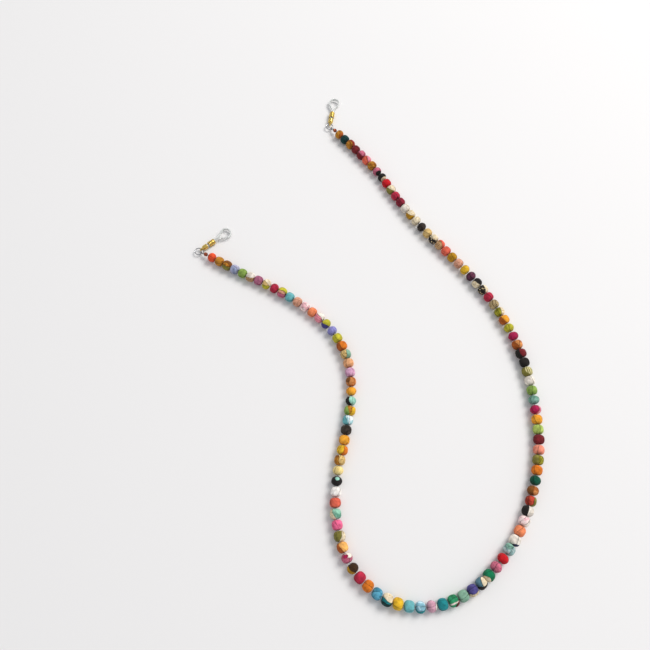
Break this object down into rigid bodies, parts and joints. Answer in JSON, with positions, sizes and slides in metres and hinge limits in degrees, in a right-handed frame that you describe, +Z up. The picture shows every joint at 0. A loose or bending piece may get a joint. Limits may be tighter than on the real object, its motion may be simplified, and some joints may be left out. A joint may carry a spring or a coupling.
{
  "type": "eyeglass retainer strap",
  "caption": "Flexible eyeglass strap: cloth-wrapped wooden beads strung on a wire, with an adjustable silicone loop, coil slider and jump ring at each end.",
  "frame": {"origin": "centre of the strap's plan at the surface it lies on", "axes": "+Z up; +Y from the bottom of the U towards the end loops; +X to the right of someone looking along +Y from above"},
  "size_m": [0.2158, 0.3498, 0.0064],
  "materials": {
    "bead_cotton": "woven cotton scraps, many plain and printed colours, matte",
    "bead_wood": "turned, unfinished",
    "beading_wire": "stranded, nylon coated",
    "crimp_copper": "antique copper",
    "ring_steel": "polished",
    "gold_plate": "bright gold plate",
    "loop_silicone": "clear, soft gloss"
  },
  "bodies": {
    "strand_01": {"wire_01": "beading_wire", "wood_beads_01": "bead_wood", "cloth_wraps_01": "bead_cotton", "right_crimp": "crimp_copper", "right_wire_eyelet": "beading_wire"},
    "strand_02": {"wire_02": "beading_wire", "wood_beads_02": "bead_wood", "cloth_wraps_02": "bead_cotton"},
    "strand_03": {"wire_03": "beading_wire", "wood_beads_03": "bead_wood", "cloth_wraps_03": "bead_cotton"},
    "strand_04": {"wire_04": "beading_wire", "wood_beads_04": "bead_wood", "cloth_wraps_04": "bead_cotton"},
    "strand_05": {"wire_05": "beading_wire", "wood_beads_05": "bead_wood", "cloth_wraps_05": "bead_cotton"},
    "strand_06": {"wire_06": "beading_wire", "wood_beads_06": "bead_wood", "cloth_wraps_06": "bead_cotton"},
    "strand_07": {"wire_07": "beading_wire", "wood_beads_07": "bead_wood", "cloth_wraps_07": "bead_cotton"},
    "strand_08": {"wire_08": "beading_wire", "wood_beads_08": "bead_wood", "cloth_wraps_08": "bead_cotton"},
    "strand_09": {"wire_09": "beading_wire", "wood_beads_09": "bead_wood", "cloth_wraps_09": "bead_cotton"},
    "strand_10": {"wire_10": "beading_wire", "wood_beads_10": "bead_wood", "cloth_wraps_10": "bead_cotton"},
    "strand_11": {"wire_11": "beading_wire", "wood_beads_11": "bead_wood", "cloth_wraps_11": "bead_cotton"},
    "strand_12": {"wire_12": "beading_wire", "wood_beads_12": "bead_wood", "cloth_wraps_12": "bead_cotton"},
    "strand_13": {"wire_13": "beading_wire", "wood_beads_13": "bead_wood", "cloth_wraps_13": "bead_cotton"},
    "strand_14": {"wire_14": "beading_wire", "wood_beads_14": "bead_wood", "cloth_wraps_14": "bead_cotton", "left_crimp": "crimp_copper", "left_wire_eyelet": "beading_wire"},
    "right_end_bead": {"right_end_bead_core": "bead_wood", "right_end_bead_wrap": "bead_cotton"},
    "right_ring": {"right_jump_ring": "ring_steel"},
    "right_loop": {"right_end_cap": "gold_plate", "right_temple_loop": "loop_silicone"},
    "right_slider": {"right_coil_slider": "gold_plate"},
    "left_end_bead": {"left_end_bead_core": "bead_wood", "left_end_bead_wrap": "bead_cotton"},
    "left_ring": {"left_jump_ring": "ring_steel"},
    "left_loop": {"left_end_cap": "gold_plate", "left_temple_loop": "loop_silicone"},
    "left_slider": {"left_coil_slider": "gold_plate"}
  },
  "joints": [
    {"name": "sway_07", "type": "hinge", "parent": "strand_08", "child": "strand_07", "pos_m": [0.07352, -0.15023, 0.0032], "axis": [0, 0, -1], "range_deg": [-20, 20]},
    {"name": "lift_06", "type": "hinge", "parent": "strand_07", "child": "strand_06", "pos_m": [0.09804, -0.10947, 0.0032], "axis": [0.9439, -0.3303, 0], "range_deg": [0, 20]},
    {"name": "sway_05", "type": "hinge", "parent": "strand_06", "child": "strand_05", "pos_m": [0.10487, -0.06231, 0.0032], "axis": [0, 0, 1], "range_deg": [-20, 20]},
    {"name": "lift_04", "type": "hinge", "parent": "strand_05", "child": "strand_04", "pos_m": [0.09663, -0.01526, 0.0032], "axis": [0.9395, 0.3426, 0], "range_deg": [0, 20]},
    {"name": "sway_03", "type": "hinge", "parent": "strand_04", "child": "strand_03", "pos_m": [0.07347, 0.02659, 0.0032], "axis": [0, 0, -1], "range_deg": [-20, 20]},
    {"name": "lift_02", "type": "hinge", "parent": "strand_03", "child": "strand_02", "pos_m": [0.04372, 0.06425, 0.0032], "axis": [0.8146, 0.5801, 0], "range_deg": [0, 20]},
    {"name": "sway_01", "type": "hinge", "parent": "strand_02", "child": "strand_01", "pos_m": [0.01876, 0.10522, 0.0032], "axis": [0, 0, 1], "range_deg": [-20, 20]},
    {"name": "lift_08", "type": "hinge", "parent": "strand_08", "child": "strand_09", "pos_m": [0.03202, -0.17177, 0.0032], "axis": [-0.0455, 0.999, 0], "range_deg": [0, 20]},
    {"name": "sway_09", "type": "hinge", "parent": "strand_09", "child": "strand_10", "pos_m": [-0.00793, -0.14993, 0.0032], "axis": [0, 0, 1], "range_deg": [-20, 20]},
    {"name": "lift_10", "type": "hinge", "parent": "strand_10", "child": "strand_11", "pos_m": [-0.01403, -0.10324, 0.0032], "axis": [0.9918, -0.1279, 0], "range_deg": [0, 20]},
    {"name": "sway_11", "type": "hinge", "parent": "strand_11", "child": "strand_12", "pos_m": [-0.00501, -0.05614, 0.0032], "axis": [0, 0, -1], "range_deg": [-20, 20]},
    {"name": "lift_12", "type": "hinge", "parent": "strand_12", "child": "strand_13", "pos_m": [-0.01787, -0.01114, 0.0032], "axis": [0.7887, 0.6148, 0], "range_deg": [0, 20]},
    {"name": "sway_13", "type": "hinge", "parent": "strand_13", "child": "strand_14", "pos_m": [-0.05581, 0.0179, 0.0032], "axis": [0, 0, 1], "range_deg": [-20, 20]},
    {"name": "right_bead_spin", "type": "hinge", "parent": "strand_01", "child": "right_end_bead", "pos_m": [-0.00905, 0.14056, 0.0032], "axis": [0.6488, -0.7609, 0], "continuous": true},
    {"name": "right_ring_swing", "type": "hinge", "parent": "strand_01", "child": "right_ring", "pos_m": [-0.01616, 0.14895, 0.0019], "axis": [0, 0, 1], "range_deg": [-50, 50]},
    {"name": "right_loop_lift", "type": "hinge", "parent": "right_ring", "child": "right_loop", "pos_m": [-0.01575, 0.15132, 0.0019], "axis": [0.9855, -0.1696, 0], "range_deg": [0, 70]},
    {"name": "right_slider_slide", "type": "slide", "parent": "right_loop", "child": "right_slider", "axis": [0.1696, 0.9855, 0], "range_m": [-0.0008, 0.003]},
    {"name": "left_bead_spin", "type": "hinge", "parent": "strand_14", "child": "left_end_bead", "pos_m": [-0.09529, 0.03946, 0.0032], "axis": [-0.8664, 0.4993, 0], "continuous": true},
    {"name": "left_ring_swing", "type": "hinge", "parent": "strand_14", "child": "left_ring", "pos_m": [-0.10483, 0.04493, 0.0019], "axis": [0, 0, 1], "range_deg": [-10, 110]},
    {"name": "left_loop_lift", "type": "hinge", "parent": "left_ring", "child": "left_loop", "pos_m": [-0.10295, 0.04642, 0.0019], "axis": [0.6181, -0.7861, 0], "range_deg": [0, 70]},
    {"name": "left_slider_slide", "type": "slide", "parent": "left_loop", "child": "left_slider", "axis": [0.7861, 0.6181, 0], "range_m": [-0.0008, 0.003]}
  ]
}
